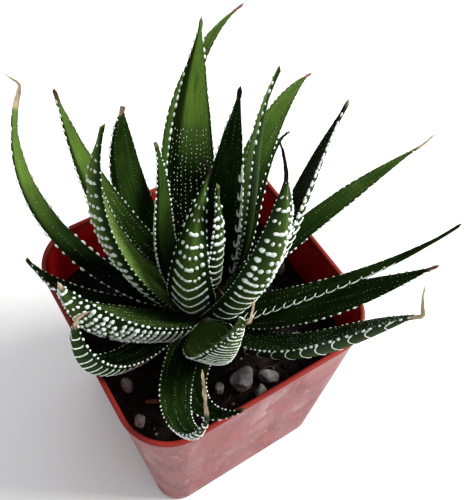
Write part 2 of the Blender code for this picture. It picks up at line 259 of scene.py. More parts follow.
def makeLeafSkin():
    c = leafColours
    skin = Surface("leaf skin", specular=0.01)
    along = skin.layer("along")          # millimetres from the root
    across = skin.layer("across")        # millimetres from the middle line
    edge = skin.layer("edge")            # 0 on the middle line, 1 on the margins
    back = skin.layer("back")
    tone = skin.layer("tone")
    backTone = skin.layer("backTone")
    dry = skin.layer("dry")
    tipTint = skin.layer("tipTint")
    where = skin.place()
    streakPlace = skin.vector(across * 1.6, along * 0.10, tone * 31)
    streak = skin.noise(streakPlace, 1.0, detail=4.0, roughness=0.6)
    patch = skin.noise(where, 0.11, detail=2.0)
    grain = skin.noise(where, 2.6, roughness=0.6)
    # upper face: from shade to fresh by the leaf's tone, less the painted shade of the root, streaked along
    # its length
    mix = skin.step(tone - skin.layer("rootDark") + (streak - 0.5) * 0.5 + (patch - 0.5) * 0.35, 0.0, 1.5)
    # past a tone of 1 the ramp runs into painted light
    faceColour = skin.ramp(mix, [(0.0, c["shade"]), (0.26, c["body"]), (0.74, c["fresh"]), (1.0, c["lit"])])
    faceColour = skin.blend(skin.step(edge, 0.80, 1.0) * 0.45, faceColour, c["body"])
    # painted shade over one side of the upper face
    faceColour = skin.blend(skin.layer("dim") * 0.92, faceColour, c["shade"])
    faceColour = skin.blend(skin.step(streak, 0.50, 0.70) * 0.5, faceColour, c["body"])
    # back: lighter crown, dark towards the margins
    crown = skin.step(edge + (patch - 0.5) * 0.5, 0.9, 0.1) * (0.35 + 0.65 * backTone)
    litBack = skin.blend(skin.step(backTone, 0.45, 0.95), c["backLit"], c["fresh"])
    backColour = skin.blend(crown, c["back"], litBack)
    backColour = skin.blend((streak - 0.35) * 0.5, backColour, c["shade"])
    colour = skin.blend(back, faceColour, backColour)
    colour = skin.blend(skin.step(grain, 0.35, 0.75) * 0.22, colour, c["shade"])
    # old growth near the root is paler and dull
    colour = skin.blend(skin.step(along, 7.0, 1.0) * 0.4, colour, c["backLit"])
    fibres = skin.noise(skin.vector(across * 5, along * 0.5, tone * 9), 1.0)
    dryColour = skin.ramp(fibres, [(0.32, c["ash"]), (0.68, c["tan"])])
    dryColour = skin.blend(skin.step(tipTint, 0.0, 0.5), dryColour, c["blush"])
    dryColour = skin.blend(skin.step(tipTint, 0.5, 1.0), dryColour, c["charred"])
    colour = skin.blend(dry, colour, dryColour)
    ridges = skin.noise(skin.vector(across * 3.2, along * 0.22, tone * 17), 1.0, detail=2.0)
    skinCells = skin.cells(where, 3.4)
    height = ridges * 0.7 + skinCells * 0.35 + grain * 0.3
    rough = 0.46 + (grain - 0.5) * 0.16 + dry * 0.4
    return skin.finish(colour=colour, roughness=rough, normal=skin.bump(height, 0.10, 0.5))


def makeTubercleWhite():
    white = Surface("tubercle white", specular=0.35)
    where = white.place()
    cloud = white.noise(where, 0.9)
    colour = white.ramp(cloud, [(0.30, (0.45, 0.52, 0.46)), (0.60, (0.69, 0.74, 0.69))])
    colour = white.blend(white.layer("dry"), colour, (0.46, 0.38, 0.27))
    grain = white.noise(where, 5.0, detail=2.0)
    return white.finish(colour=colour, roughness=0.42 + (grain - 0.5) * 0.2,
                        normal=white.bump(grain, 0.03, 0.5))


def makeFaceDotPale():
    # the small dots of the upper face are half green on dark leaves
    pale = Surface("face dot pale", specular=0.3)
    where = pale.place()
    cloud = pale.noise(where, 1.2, detail=2.0)
    dotWhite = pale.layer("dotWhite")
    colour = pale.blend(dotWhite * (0.75 + 0.5 * cloud), (0.060, 0.105, 0.035), (0.80, 0.86, 0.76))
    colour = pale.blend(pale.layer("dry"), colour, (0.30, 0.25, 0.18))
    return pale.finish(colour=colour, roughness=0.5 + (cloud - 0.5) * 0.2, normal=pale.bump(cloud, 0.02, 0.5))


# Leaves

leafForm = {
    "seed": 100,
    "channel": 0.04,            # hollow of the upper face, in widths
    "backPower": (1.7, 1.25),   # curve of the back's section, full near the root and keeled at the tip
    "backShare": (0.1, 0.75),   # shares of the length where those hold
    "leastThickness": 0.8 * mm,
    "tipPoint": 1.2 * mm,
    "whiskerWidth": 0.32 * mm,
    "whiskerSteps": 24,         # in each bend of a whisker
    "rootShare": 0.42,          # width at the root, as a share of the full one
    "rootReach": 0.14,          # share of the length where the full width is reached
    "shoulder": 0.2,            # share of the length where it begins to narrow
    "stationStep": 0.8 * mm,
    "whiskerStationStep": 0.5 * mm,
    "waviness": 0.22 * mm,      # of the margins and of a shrivelled whisker
    "waveScale": 0.16,          # waves for each millimetre
    "shrivelScale": 900,
    "spanGain": 2.67,           # how much a keel lengthens the way over the back
    "rootShadeReach": 0.8,           # share of the length over which the painted shade of the root fades
    "shadeStripSoftness": 0.35,
    "backColumns": 16,
    "faceColumns": 10,
    "pathSteps": 240,
    "seatGap": 0.4 * mm,        # between root and stem, tried at these distances from the root
    "seatDepths": (0, 4.5 * mm, 8.6 * mm),
}

# stem outline as (level, radius) in millimetres, which the roots lie against
stemLevels = [55, 64, 67, 70, 73, 76, 79, 80.5]
stemRadii = [8.2, 8.6, 7.9, 6.6, 5.4, 3.8, 2.2, 1.0]

# what a leaf has unless its own entry says otherwise, sizes in millimetres and angles in degrees
usualLeaf = {
    # rise and heading are (at the root, change, bend): root + change * t + bend * t * t along the length
    "roll": (0, 0),             # turn about its own length, at the root and how much more at the tip
    "bearing": None,            # side of the stem it grows from, where that isn't its heading
    "fullness": 1.8,            # how late it narrows towards the tip
    "keel": 0.38,               # thickness, in widths
    "whisker": [],              # dried ends as (length, rise, heading)
    "tone": 0.35,               # 0 darkest, 1 yellowish, past 1 painted light; set leaf by leaf, partly as the leaf's own green and partly as painted light and shade
    "backTone": None,           # the same for the back, where it differs
    "bands": True,
    "near": 2.5, "far": 3.2,    # band spacing at the root and from mid leaf on
    "dots": 0.50,               # share of the length where bands break into dots
    "reach": 0.88,              # how far the bands go to the margins
    "dip": 0.20,                # drop of a band at the keel, in leaf widths
    "hook": 0.8,                # rise of the band ends towards the tip
    "line": 0.32,               # half width of an unbroken band
    "bead": 0.48,               # half width of a single bead
    "grown": 0.15,              # how often single beads still join their neighbours
    "marks": None,              # long marks along one margin: form, side, length, half width, spacing
    "marginPitch": 2.1, "marginBead": 0.30,
    "marginShare": (1.0, 1.0),  # bead size on each margin
    "faceRows": 3,              # rows of fine dots on the upper face
    "faceDot": 0.11, "dotWhite": 0.25, "faceReach": 0.92,
    "rootDark": 0.0,            # painted shade: how much darker the lower half is
    "dim": 1.0,                 # place across the upper face where its strip of painted shade begins
    "tipWidth": 0.9,
    "dryTip": 0.0,              # dried length before the tip
    "dryFade": 1.6,
    "tipTint": 0.0,             # 0 tan, 0.5 reddish, 1 nearly black
}

leafPieces = {
    "inner_leaf_1": dict(
        rise=(64, 85, -65), heading=(158, 9, 3), roll=(-37, -26), level=77.8, bearing=152, length=59.5,
        width=8, tone=0.62, dots=0.2, near=2.4, far=2.5, bead=0.4, faceRows=0, marginPitch=1.8, dim=0.3),
    "inner_leaf_2": dict(
        rise=(88, -3, 5), heading=(298, 29, 6), roll=(3, 0), level=79.3, bearing=298, length=45, width=8,
        fullness=2.4, tone=0.75, dots=0.55, near=3.3, far=3, bead=0.66, hook=1.4, line=0.34,
        marginBead=0.36, grown=0.3),
    "inner_leaf_3": dict(
        rise=(69, 50, 23), heading=(224, -11, 5), roll=(11, 0), level=76.6, bearing=214, length=48.5,
        width=12.3, fullness=1.35, whisker=[(4.8, 50, 140)], tone=0.75, near=4.4, far=3, bead=0.64,
        line=0.4, dryTip=1.5, dryFade=3, tipTint=0.95, reach=0.8, dip=0.1, hook=0.7),
    "inner_leaf_4": dict(
        rise=(84, -1, 0), heading=(14, 5, 2), roll=(12, 0), level=76.8, bearing=13, length=66, width=12.5,
        fullness=1.7, tone=0.32, dotWhite=0.2, marks=("hook", 1, 4.8, 0.36, 5.6), bands=False),
    "inner_leaf_5": dict(
        rise=(58, 5, 12), heading=(73, -22, -17), level=75, bearing=66, length=70, width=14.5, tone=1.45,
        faceRows=11, faceDot=0.15, dotWhite=0.7, marginPitch=1.9, marginBead=0.36, rootDark=3,
        faceReach=0.62, dim=0.3),
    "inner_leaf_6": dict(
        rise=(62, 16, 30), heading=(172, -36, -3), roll=(-4, 30), level=74.3, bearing=171, length=75.5,
        width=12.5, fullness=2.6, tone=1.08, dots=0.3, near=3, bead=0.6, line=0.3, reach=0.74, faceRows=7,
        faceDot=0.12, dotWhite=0.5, grown=0.05, marginShare=(0.6, 1), hook=1.8),
    "inner_leaf_7": dict(
        rise=(62, 26, 6), heading=(304, -2, -8), roll=(-26, 0), level=74.8, bearing=258, length=69.5,
        width=15, fullness=2, keel=0.34, whisker=[(5.8, 45, 80)], tone=0.68, dots=0.46, near=4.6,
        bead=0.68, line=0.28, hook=2.2, faceRows=5, dryTip=2.5, dryFade=2, grown=0.05, tipTint=1,
        marginBead=0.42, marginPitch=1.5, reach=0.84, marginShare=(1, 0.35)),
    "middle_leaf_1": dict(
        rise=(59, 24, 3), heading=(135, -9, 1), roll=(-13, 0), level=71, bearing=140, length=74.5,
        width=14, fullness=1.15, tone=0.95, faceRows=6, dotWhite=0.6, marginPitch=2, rootDark=0.9,
        faceReach=0.55, dim=0.35, tipTint=0.8, dryTip=3, dryFade=6),
    "middle_leaf_2": dict(
        rise=(65, 82, -76), heading=(9, -13, -4), roll=(-26, 0), level=71.8, bearing=14, length=74.5,
        width=10, tone=1.6, marginPitch=2.3, marginBead=0.34, faceRows=0, bands=False, backTone=0.25),
    "middle_leaf_3": dict(
        rise=(51, 92, -84), heading=(332, 36, 5), roll=(-8, -28), level=71.9, bearing=325, length=72,
        width=12, tone=0.16, dots=0.9, far=3, hook=1, reach=0.72, marks=("backHook", 1, 1.5, 0.4, 2.3),
        faceRows=4, dotWhite=0.15, marginShare=(0.5, 1)),
    "middle_leaf_4": dict(
        rise=(36, 102, -74), heading=(246, 5, 36), roll=(19, 0), level=70, bearing=244, length=58.5,
        width=14, fullness=2.6, keel=0.45, whisker=[(5.2, 60, 40)], tone=0.78, dots=0.85, near=1.7,
        far=1.9, line=0.18, bead=0.34, hook=1.6, dotWhite=0.6, faceRows=5),
    "middle_leaf_5": dict(
        rise=(46, 0, 36), heading=(196, -75, 89), roll=(26, 0), level=72.4, bearing=213, length=59.5,
        width=13.5, fullness=3.1, keel=0.48, tone=0.62, dots=0.36, near=2.4, far=2.5, bead=0.68, line=0.4,
        faceRows=6, dotWhite=0.7, dryTip=1.5, dryFade=2, grown=0.2),
    "middle_leaf_6": dict(
        rise=(40, 5, -19), heading=(318, 5, 32), roll=(-21, 0), level=69.9, bearing=299, length=68,
        width=11.5, fullness=0.75, tone=0.36, faceRows=4, dotWhite=0.6, tipTint=0.9, faceReach=0.45,
        marginBead=0.24, bands=False, marks=("cup", 1, 2.9, 0.17, 3), marginShare=(1, 0)),
    "middle_leaf_7": dict(
        rise=(49, -10, -31), heading=(83, -57, -14), roll=(4, 0), level=70, bearing=82, length=84.5,
        width=9, tone=0.72, dryTip=4, tipTint=0.4, faceRows=2, rootDark=0.2),
    "middle_leaf_8": dict(
        rise=(47, -14, -51), heading=(35, 12, -25), level=69.6, bearing=31, length=73.5, width=9.5,
        fullness=2.2, tone=0.75, dryTip=3, tipTint=0.4, faceRows=2, rootDark=0.5, dotWhite=0.5),
    "middle_leaf_9": dict(
        rise=(25, 20, 47), heading=(225, 13, 75), roll=(-21, 0), level=67.5, bearing=221, length=74,
        width=8.5, whisker=[(9, 55, 66)], tone=0.28, dots=0.9, far=3, line=0.3, bead=0.4, marginBead=0.24),
    "outer_leaf_1": dict(
        rise=(33, -5, 0), heading=(150, -65, -34), roll=(7, 0), level=69.1, length=75, width=6.6,
        fullness=2.2, whisker=[(3.8, 45, 33), (5, 25, 125)], tone=1.05, faceRows=1, marginPitch=3,
        marginBead=0.4, dryTip=1.5, rootDark=1.8, tipWidth=1.7, dim=0.45),
    "outer_leaf_2": dict(
        rise=(39, 75, -3), heading=(109, -9, -5), roll=(7, 0), level=68, bearing=100, length=67, width=12,
        fullness=2.6, tone=0.5, faceRows=2, dryTip=3.2, marginPitch=2.6, tipWidth=1.6, tipTint=0.22,
        dryFade=0.8, dim=0.35),
    "outer_leaf_3": dict(
        rise=(36, 5, -58), heading=(28, 58, -66), level=66.2, bearing=16, length=55, width=7.5,
        fullness=1.6, tone=0.25),
    "outer_leaf_4": dict(
        rise=(35, 1, -18), heading=(358, -5, 3), roll=(-13, 0), level=68.4, bearing=359, length=67.5,
        width=8, fullness=2.4, whisker=[(4.6, 30, 2)], tone=0.68, faceRows=2, dryTip=1, rootDark=0.5),
    "outer_leaf_5": dict(
        rise=(24, 37, -17), heading=(312, 24, -8), roll=(-4, 0), level=67, bearing=320, length=60,
        width=12, tone=0.36, near=2.6, far=3.3, dryTip=2, tipTint=0.35, dotWhite=0.4),
    "outer_leaf_6": dict(
        rise=(20, 103, -71), heading=(279, 82, -61), roll=(-31, 0), level=67.4, bearing=289, length=68,
        width=12.5, fullness=2.8, whisker=[(1.5, 45, 75), (4.5, 60, 58)], tone=0.26, dots=1.2, near=4.3,
        far=5.2, line=0.19, reach=0.97, hook=3, faceRows=7, dotWhite=0.7, dryTip=2.5),
    "outer_leaf_7": dict(
        rise=(28, 40, 12), heading=(167, -10, 2), roll=(7, 0), level=66.9, bearing=160, length=52.5,
        width=9, fullness=2, tone=0.2),
    "outer_leaf_8": dict(
        rise=(21, 64, 19), heading=(205, 5, -27), roll=(18, 0), level=66.4, bearing=181, length=61.5,
        width=9.5, fullness=3.4, keel=0.42, whisker=[(3, 25, 345)], tone=0.15, dots=0.95, near=2.7,
        far=2.9, line=0.24, bead=0.36, dryTip=2, reach=0.8),
    "outer_leaf_9": dict(
        rise=(8, 58, -8), heading=(206, 76, 48), roll=(6, 0), level=66, bearing=254, length=45, width=8,
        fullness=1.6, tone=0.3, near=2.4, far=2.8),
}


def direction(rise, heading):
    # unit vectors along a leaf and out of its upper face
    rise = np.radians(rise)
    heading = np.radians(heading)
    along = np.stack([np.cos(rise) * np.cos(heading), np.cos(rise) * np.sin(heading), np.sin(rise)], -1)
    face = np.stack([-np.sin(rise) * np.cos(heading), -np.sin(rise) * np.sin(heading), np.cos(rise)], -1)
    return along, face


def unit(vectors):
    return vectors / np.linalg.norm(vectors, axis=-1, keepdims=True)


def softStep(value):
    value = np.clip(value, 0, 1)
    return value * value * (3 - 2 * value)


class LeafShape:
    # the form of one leaf, read by distance from its root and place around its section

    def __init__(self, leaf):
        form = leafForm
        self.leaf = leaf
        self.length = leaf["length"] * mm
        self.width = leaf["width"] * mm
        count = form["pathSteps"]
        t = (np.arange(count) + 0.5) / count
        rise, heading = (start + change * t + bend * t * t
                         for start, change, bend in (leaf["rise"], leaf["heading"]))
        along, face = direction(rise, heading)
        side = np.cross(along, face)
        turn = np.radians(leaf["roll"][0] + leaf["roll"][1] * t)[:, None]
        faces = list(np.cos(turn) * face + np.sin(turn) * side)
        alongs = list(along)
        steps = [self.length / count] * count
        bendSteps = form["whiskerSteps"]
        for pieceLength, pieceRise, pieceHeading in leaf["whisker"]:
            target, _ = direction(pieceRise, pieceHeading)
            start = alongs[-1]
            for i in range(bendSteps):
                mixed = unit(start + (target - start) * min(1, 2 * (i + 1) / bendSteps))
                alongs.append(mixed)
                faces.append(unit(faces[-1] - mixed * float(np.dot(faces[-1], mixed))))
                steps.append(pieceLength * mm / bendSteps)
        self.along = np.array(alongs)
        self.face = np.array(faces)
        steps = np.array(steps)
        self.middles = np.cumsum(steps) - steps / 2
        self.ends = np.concatenate([[0], np.cumsum(steps)])
        self.points = np.vstack([[0, 0, 0], np.cumsum(self.along * steps[:, None], 0)])
        self.whole = float(self.ends[-1])
        self.root = np.zeros(3)
        self.root = self.seat()

    def read(self, table, stops, distance):
        return np.stack([np.interp(distance, stops, table[:, axis]) for axis in range(3)], -1)

    def frameAt(self, distance):
        centre = self.read(self.points, self.ends, distance)
        along = unit(self.read(self.along, self.middles, distance))
        face = self.read(self.face, self.middles, distance)
        face = unit(face - along * np.sum(face * along, -1, keepdims=True))
        return centre, face, np.cross(along, face)

    def widthAt(self, distance):
        form = leafForm
        t = np.minimum(distance / self.length, 1)
        rooting = form["rootShare"] + (1 - form["rootShare"]) * np.minimum(t / form["rootReach"], 1) ** 0.8
        slope = np.maximum(0, (t - form["shoulder"]) / (1 - form["shoulder"])) ** self.leaf["fullness"]
        tipWidth = self.leaf["tipWidth"] * mm
        wide = np.maximum(self.width * rooting * (1 - slope), tipWidth)
        beyond = np.clip((distance - self.length) / max(self.whole - self.length, 1e-6), 0, 1)
        return wide + (form["whiskerWidth"] - tipWidth) * beyond

    def backSpan(self, distance):
        # length over the back from margin to margin
        return self.widthAt(distance) * (1 + leafForm["spanGain"] * self.leaf["keel"] ** 2)

    def pointAt(self, distance, around):
        # around goes from -1 to 1 over the back and on to 3 over the upper face
        around = (around + 1) % 4 - 1
        onBack = around <= 1
        x = np.where(onBack, around, 2 - around)
        here = self.widthAt(distance)
        thick = np.maximum(self.leaf["keel"] * here, np.minimum(leafForm["leastThickness"], here))
        power = np.interp(distance, [share * self.length for share in leafForm["backShare"]],
                          leafForm["backPower"])
        height = np.where(onBack, -thick * (1 - np.abs(x) ** power),
                          -leafForm["channel"] * here * (1 - x * x))
        centre, face, side = self.frameAt(distance)
        return self.root + centre + side * (x * here / 2)[:, None] + face * height[:, None]

    def outwardAt(self, distance, around):
        stepAlong = 0.2 * mm
        stepAround = 0.07
        inside = 0.12               # depth of the section's middle, in widths
        run = self.pointAt(distance + stepAlong, around) - self.pointAt(distance - stepAlong, around)
        over = self.pointAt(distance, around + stepAround) - self.pointAt(distance, around - stepAround)
        outward = unit(np.cross(over, run))
        centre, face, _ = self.frameAt(distance)
        middle = self.root + centre - face * (inside * self.widthAt(distance))[:, None]
        facing = np.sum(outward * (self.pointAt(distance, around) - middle), -1, keepdims=True)
        return np.where(facing < 0, -outward, outward)

    def seat(self):
        # out along the bearing until the root lies one gap off the stem
        leaf = self.leaf
        heading = math.radians(leaf["heading"][0] if leaf["bearing"] is None else leaf["bearing"])
        out = np.array([math.cos(heading), math.sin(heading), 0])
        beside = np.array([-math.sin(heading), math.cos(heading), 0])
        distance, around = np.meshgrid(leafForm["seatDepths"], np.linspace(-1, 3, 9)[:-1])
        points = self.pointAt(distance.ravel(), around.ravel())
        levels = leaf["level"] + points[:, 2] / mm
        clear = np.interp(levels, stemLevels, stemRadii) * mm + leafForm["seatGap"]
        sideways = points @ beside
        near = np.abs(sideways) < clear
        needed = np.sqrt(clear[near] ** 2 - sideways[near] ** 2) - points[near] @ out
        away = max(0, float(needed.max())) if near.any() else 0
        return out * away + np.array([0, 0, leaf["level"] * mm])

    def dryAt(self, distance):
        start = self.length - self.leaf["dryTip"] * mm
        if self.whole <= self.length and self.leaf["dryTip"] == 0:
            return np.zeros_like(distance)
        return softStep((distance - start) / (self.leaf["dryFade"] * mm) + 0.4)


class LeafMesh(Gathered):
    # one leaf with all that grows on it

    def __init__(self, shape):
        super().__init__()
        self.shape = shape

    def keep(self, points, distance, around, faces, finish):
        leaf = self.shape.leaf
        around = (around + 1) % 4 - 1
        x = np.where(around <= 1, around, 2 - around)
        values = {
            "along": distance / mm,
            "across": x * self.shape.widthAt(distance) / 2 / mm,
            "edge": np.abs(x),
            "back": (around <= 1) * 1.0,
            "dry": self.shape.dryAt(distance),
            "rootDark": leaf["rootDark"] * softStep(1 - distance / self.shape.length / leafForm["rootShadeReach"]),
            "dim": softStep((-x - leaf["dim"]) / leafForm["shadeStripSoftness"]) * (leaf["dim"] < 1),
        }
        for layer in ("tone", "backTone", "tipTint", "dotWhite"):
            values[layer] = np.full(len(points), float(leaf[layer]))
        self.add(points, faces, finish, values)

    def addBody(self):
        form = leafForm
        shape = self.shape
        stations = np.linspace(0, shape.length, int(shape.length / form["stationStep"]))
        if shape.whole > shape.length:
            more = int((shape.whole - shape.length) / form["whiskerStationStep"]) + 2
            rest = np.linspace(shape.length, shape.whole, more)
            stations = np.concatenate([stations, rest[1:]])
        backs = -np.cos(np.linspace(0, math.pi, form["backColumns"] + 1)) * 0.6
        backs = backs + 0.4 * np.linspace(-1, 1, form["backColumns"] + 1)
        faces = 1 + 2 * np.linspace(0, 1, form["faceColumns"] + 1)[1:-1]
        around = np.concatenate([backs, faces])
        columns = len(around)
        distance, turn = np.repeat(stations, columns), np.tile(around, len(stations))
        points = shape.pointAt(distance, turn)
        # slow waviness along both margins and a shrivelled whisker
        seed = shape.leaf["heading"][0] * 0.37
        waves = [noise.noise(Vector((seed, d / mm * form["waveScale"], 7.3))) for d in stations]
        _, _, side = shape.frameAt(distance)
        outer = (np.abs(turn) == 1) | (turn == 3)
        sway = np.sign(turn) * outer * np.repeat(waves, columns) * form["waviness"]
        points = points + side * sway[:, None]
        beyond = np.clip((distance - shape.length) / (2 * mm), 0, 1)
        scale = form["shrivelScale"]
        shrivel = np.array([[noise.noise(Vector(p) * scale + Vector((k * 9, 0, 0))) for k in range(3)]
                            for p in points[beyond > 0]]).reshape(-1, 3)
        points[beyond > 0] += shrivel * beyond[beyond > 0][:, None] * form["waviness"]
        quads = []
        for row in range(len(stations) - 1):
            low = row * columns
            for i in range(columns):
                j = (i + 1) % columns
                quads.append((low + i, low + j, low + columns + j, low + columns + i))
        quads.append(tuple(reversed(range(columns))))
        # the tip ends in a point
        end, _, _ = shape.frameAt(np.array([shape.whole]))
        along = unit(shape.read(shape.along, shape.middles, np.array([shape.whole])))
        tip = shape.root + end + along * form["tipPoint"]
        last = (len(stations) - 1) * columns
        quads += [(last + i, last + (i + 1) % columns, len(points)) for i in range(columns)]
        points = np.vstack([points, tip])
        distance = np.append(distance, shape.whole)
        turn = np.append(turn, 0.0)
        self.keep(points, distance, turn, quads, 0)

    def addStrands(self, strands, sides, finish):
        # each strand is a list of rings: distance, around, half width, height
        if not strands:
            return
        table = np.array([ring for strand in strands for ring in strand])
        distance, around, half, high = table.T
        base = self.shape.pointAt(distance, around)
        outward = self.shape.outwardAt(distance, around)
        forward = np.empty_like(base)
        start = 0
        for strand in strands:
            forward[start:start + len(strand)] = np.gradient(base[start:start + len(strand)], axis=0)
            start += len(strand)
        sideways = unit(np.cross(outward, unit(forward)))
        angles = 2 * math.pi * np.arange(sides) / sides
        rise = np.sin(angles)
        rise = np.where(rise < 0, 0.5 * rise, rise)
        points = (base[:, None] + sideways[:, None] * (half[:, None] * np.cos(angles))[..., None]
                  + outward[:, None] * (high[:, None] * rise)[..., None]).reshape(-1, 3)
        faces = []
        low = 0
        for strand in strands:
            for ring in range(len(strand) - 1):
                for i in range(sides):
                    j = (i + 1) % sides
                    faces.append((low + i, low + j, low + sides + j, low + sides + i))
                low += sides
            first = low - (len(strand) - 1) * sides
            faces.append(tuple(range(first + sides - 1, first - 1, -1)))
            faces.append(tuple(range(low, low + sides)))
            low += sides
        self.keep(points, np.repeat(distance, sides), np.repeat(around, sides), faces, finish)


# bands, margin beads and face dots; lengths in millimetres
bandForm = {
    "first": 5.0, "last": 1.5,  # from the root and from the tip
    "sway": 0.10,
    "breakUp": 0.22,            # share of the length over which lines turn into beads
    "linePitch": 1.25,
    "beadPitch": 2.45,          # in half widths
    "joined": 0.96,             # how often neighbours join in a line
    "missing": 0.10,            # how often a single bead is missing
    "hookFrom": 0.45,           # place across from which the ends rise
}
marginForm = {"first": 4.0, "last": 1.2, "beside": 0.985, "firstMark": 9.0}
dotForm = {"first": 5.0, "pitch": 1.15, "present": 0.8}
beadProfile = ((-1.0, 0.30), (-0.6, 0.82), (0.0, 1.0), (0.6, 0.82), (1.0, 0.30))


def bandPlaces(leaf):
    places = []
    place = bandForm["first"]
    while place < leaf["length"] - bandForm["last"]:
        places.append(place)
        share = place / leaf["length"]
        place += leaf["near"] + (leaf["far"] - leaf["near"]) * softStep(share / 0.5)
    return places


def bandStrands(shape, chance):
    leaf = shape.leaf
    b = bandForm
    strands = []
    for place in bandPlaces(leaf) if leaf["bands"] else []:
        share = place / leaf["length"]
        distance = (place + chance.normal(0, b["sway"])) * mm
        span = shape.backSpan(distance) / mm * leaf["reach"]
        # lines of merged beads near the root, fewer and bigger single beads further out
        loose = softStep((share - leaf["dots"]) / b["breakUp"] + 0.5)
        line = leaf["line"] * (0.7 + 0.3 * min(1, share / 0.25))            # thinner near the root
        bead = leaf["bead"] * (1 - 0.42 * max(0, share - 0.6) / 0.4)        # smaller near the tip
        size = line + (bead - line) * loose
        pitch = b["linePitch"] + (b["beadPitch"] * bead - b["linePitch"]) * loose
        count = max(2, int(round(span / pitch)))
        together = b["joined"] + (leaf["grown"] - b["joined"]) * loose
        dip = leaf["dip"] * shape.widthAt(distance) * min(1, share / leafForm["rootReach"])
        places = (np.arange(count) + 0.5) / count * 2 - 1
        places = (places + chance.normal(0, 0.12 / count, count)) * leaf["reach"]
        sizes = size * chance.uniform(0.80, 1.18, count) * (1 + 0.25 * np.abs(places) ** 3)
        # a run of beads that have grown together is one strand
        run = []
        for i in range(count):
            run.append(i)
            if i + 1 < count and chance.random() < together:
                continue
            if len(run) > 1 or chance.random() > b["missing"] * loose:
                strands.append(runRings(leaf, distance, places, sizes, run, dip, chance))
            run = []
    return strands


def runRings(leaf, distance, places, sizes, run, dip, chance):
    shift = chance.normal(0, 0.18) * mm if len(run) == 1 else 0.0
    gap = leaf["reach"] / len(places)
    start = bandForm["hookFrom"]
    rings = []
    for i in run:
        # a lone bead is round, a joined one reaches halfway to the next
        if len(run) == 1:
            reach = min(gap * 0.8, 1.15 * sizes[i] / (leaf["width"] * 0.62))    # a little longer than wide
            stops = [(-reach, 0.35), (-0.6 * reach, 0.82), (0.0, 1.0), (0.6 * reach, 0.82), (reach, 0.35)]
        else:
            stops = [(-0.85 * gap, 0.40)] if i == run[0] else []
            stops += [(-0.45 * gap, 0.86), (0.0, 1.0), (0.45 * gap, 0.86)]
            stops += [(0.85 * gap, 0.40)] if i == run[-1] else [(gap, 0.74)]
        for away, share in stops:
            x = float(np.clip(places[i] + away, -1.0, 1.0))
            lift = (max(0, abs(x) - start) / (1 - start)) ** 2 * min(1, distance / (12 * mm))
            size = sizes[i] * mm * share
            sag = dip * (1 - abs(x) ** 2.4)
            rings.append((distance + shift - sag + leaf["hook"] * mm * lift, x, size, size * 0.9))
    return rings


# paths of long marks as (share of the length, place from middle line to margin, share of the width)
hookPath = ((0.34, 0.74, 0.30), (0.12, 0.75, 0.65), (-0.02, 0.79, 0.95), (-0.04, 0.85, 1.1),
            (0.06, 0.91, 1.15), (0.30, 0.94, 1.1), (0.58, 0.95, 0.9), (0.82, 0.94, 0.60), (1.0, 0.92, 0.25))
cupPath = ((0.06, 0.30, 0.4), (-0.02, 0.48, 0.9), (0.0, 0.66, 1.1), (0.10, 0.82, 1.2), (0.30, 0.92, 1.2),
           (0.55, 0.92, 1.1), (0.80, 0.82, 0.9), (1.0, 0.66, 0.5))
markForms = {
    # how far up the leaf they go, whether on the upper face, and their path
    "hook": (0.68, True, hookPath),
    "backHook": (0.93, False, hookPath),
    "cup": (0.74, True, cupPath),
}


def marginStrands(shape, chance):
    leaf = shape.leaf
    m = marginForm
    strands = []
    for margin, part in zip((-1.0, 1.0), leaf["marginShare"]):
        if not part:
            continue
        place = m["first"] + chance.random()
        while place < leaf["length"] - m["last"]:
            share = place / leaf["length"]
            young = min(1, share / 0.4)
            size = part * leaf["marginBead"] * mm * (0.6 + 0.5 * young) * (1 - 0.35 * share ** 3)
            size = size * chance.uniform(0.7, 1.25)
            long = size * chance.uniform(1.2, 1.9)
            strands.append([(place * mm + long * p, margin * m["beside"], size * f, size * 1.1 * f)
                            for p, f in beadProfile])
            place += leaf["marginPitch"] * (0.65 + 0.4 * young) * chance.uniform(0.75, 1.25)
    return strands + (markStrands(leaf, chance) if leaf["marks"] else [])


def markStrands(leaf, chance):
    # long hooked marks beside one margin
    strands = []
    form, margin, long, half, spacing = leaf["marks"]
    farthest, onFace, path = markForms[form]
    place = marginForm["firstMark"]
    while place < leaf["length"] * farthest:
        size = half * mm * chance.uniform(0.85, 1.1) * (1 - 0.4 * (place / leaf["length"]) ** 3)
        strands.append([((place + p * long) * mm, margin * (2 - x if onFace else x), size * f, size * f)
                        for p, x, f in path])
        place += spacing * chance.uniform(0.93, 1.07)
    return strands


def faceStrands(shape, chance):
    # fine dots in lengthwise rows on the upper face, from near one margin to near the other
    leaf = shape.leaf
    strands = []
    rows = leaf["faceRows"]
    for row in range(rows):
        x = (row + 0.5) / rows * 2 - 1
        x = math.copysign(abs(x) ** 0.8, x) * 0.9
        place = dotForm["first"] + 2 * chance.random()
        while place < leaf["length"] * leaf["faceReach"]:
            size = leaf["faceDot"] * mm * chance.uniform(0.5, 1.25)
            wander = x + chance.normal(0, 0.02)
            if chance.random() < dotForm["present"]:
                strands.append([(place * mm + size * 1.3 * p, 2 - wander, size * f, size * f * 0.8)
                                for p, f in ((-1, 0.35), (0, 1.0), (1, 0.35))])
            place += dotForm["pitch"] * chance.uniform(0.8, 1.3)
    return strands


def makeLeaf(number, node, values, finishes):
    leaf = dict(usualLeaf, **values)
    if leaf["backTone"] is None:
        leaf["backTone"] = leaf["tone"]
    chance = np.random.default_rng(leafForm["seed"] + number)
    shape = LeafShape(leaf)
    grown = LeafMesh(shape)
    grown.addBody()
    # finishes are numbered skin, tubercles, face dots
    grown.addStrands(bandStrands(shape, chance), 6, 1)
    grown.addStrands(marginStrands(shape, chance), 6, 1)
    grown.addStrands(faceStrands(shape, chance), 5, 2)
    name = "leaf_" + node.replace("_leaf", "")
    showPiece(name, grown.build(name, finishes, 70), node)


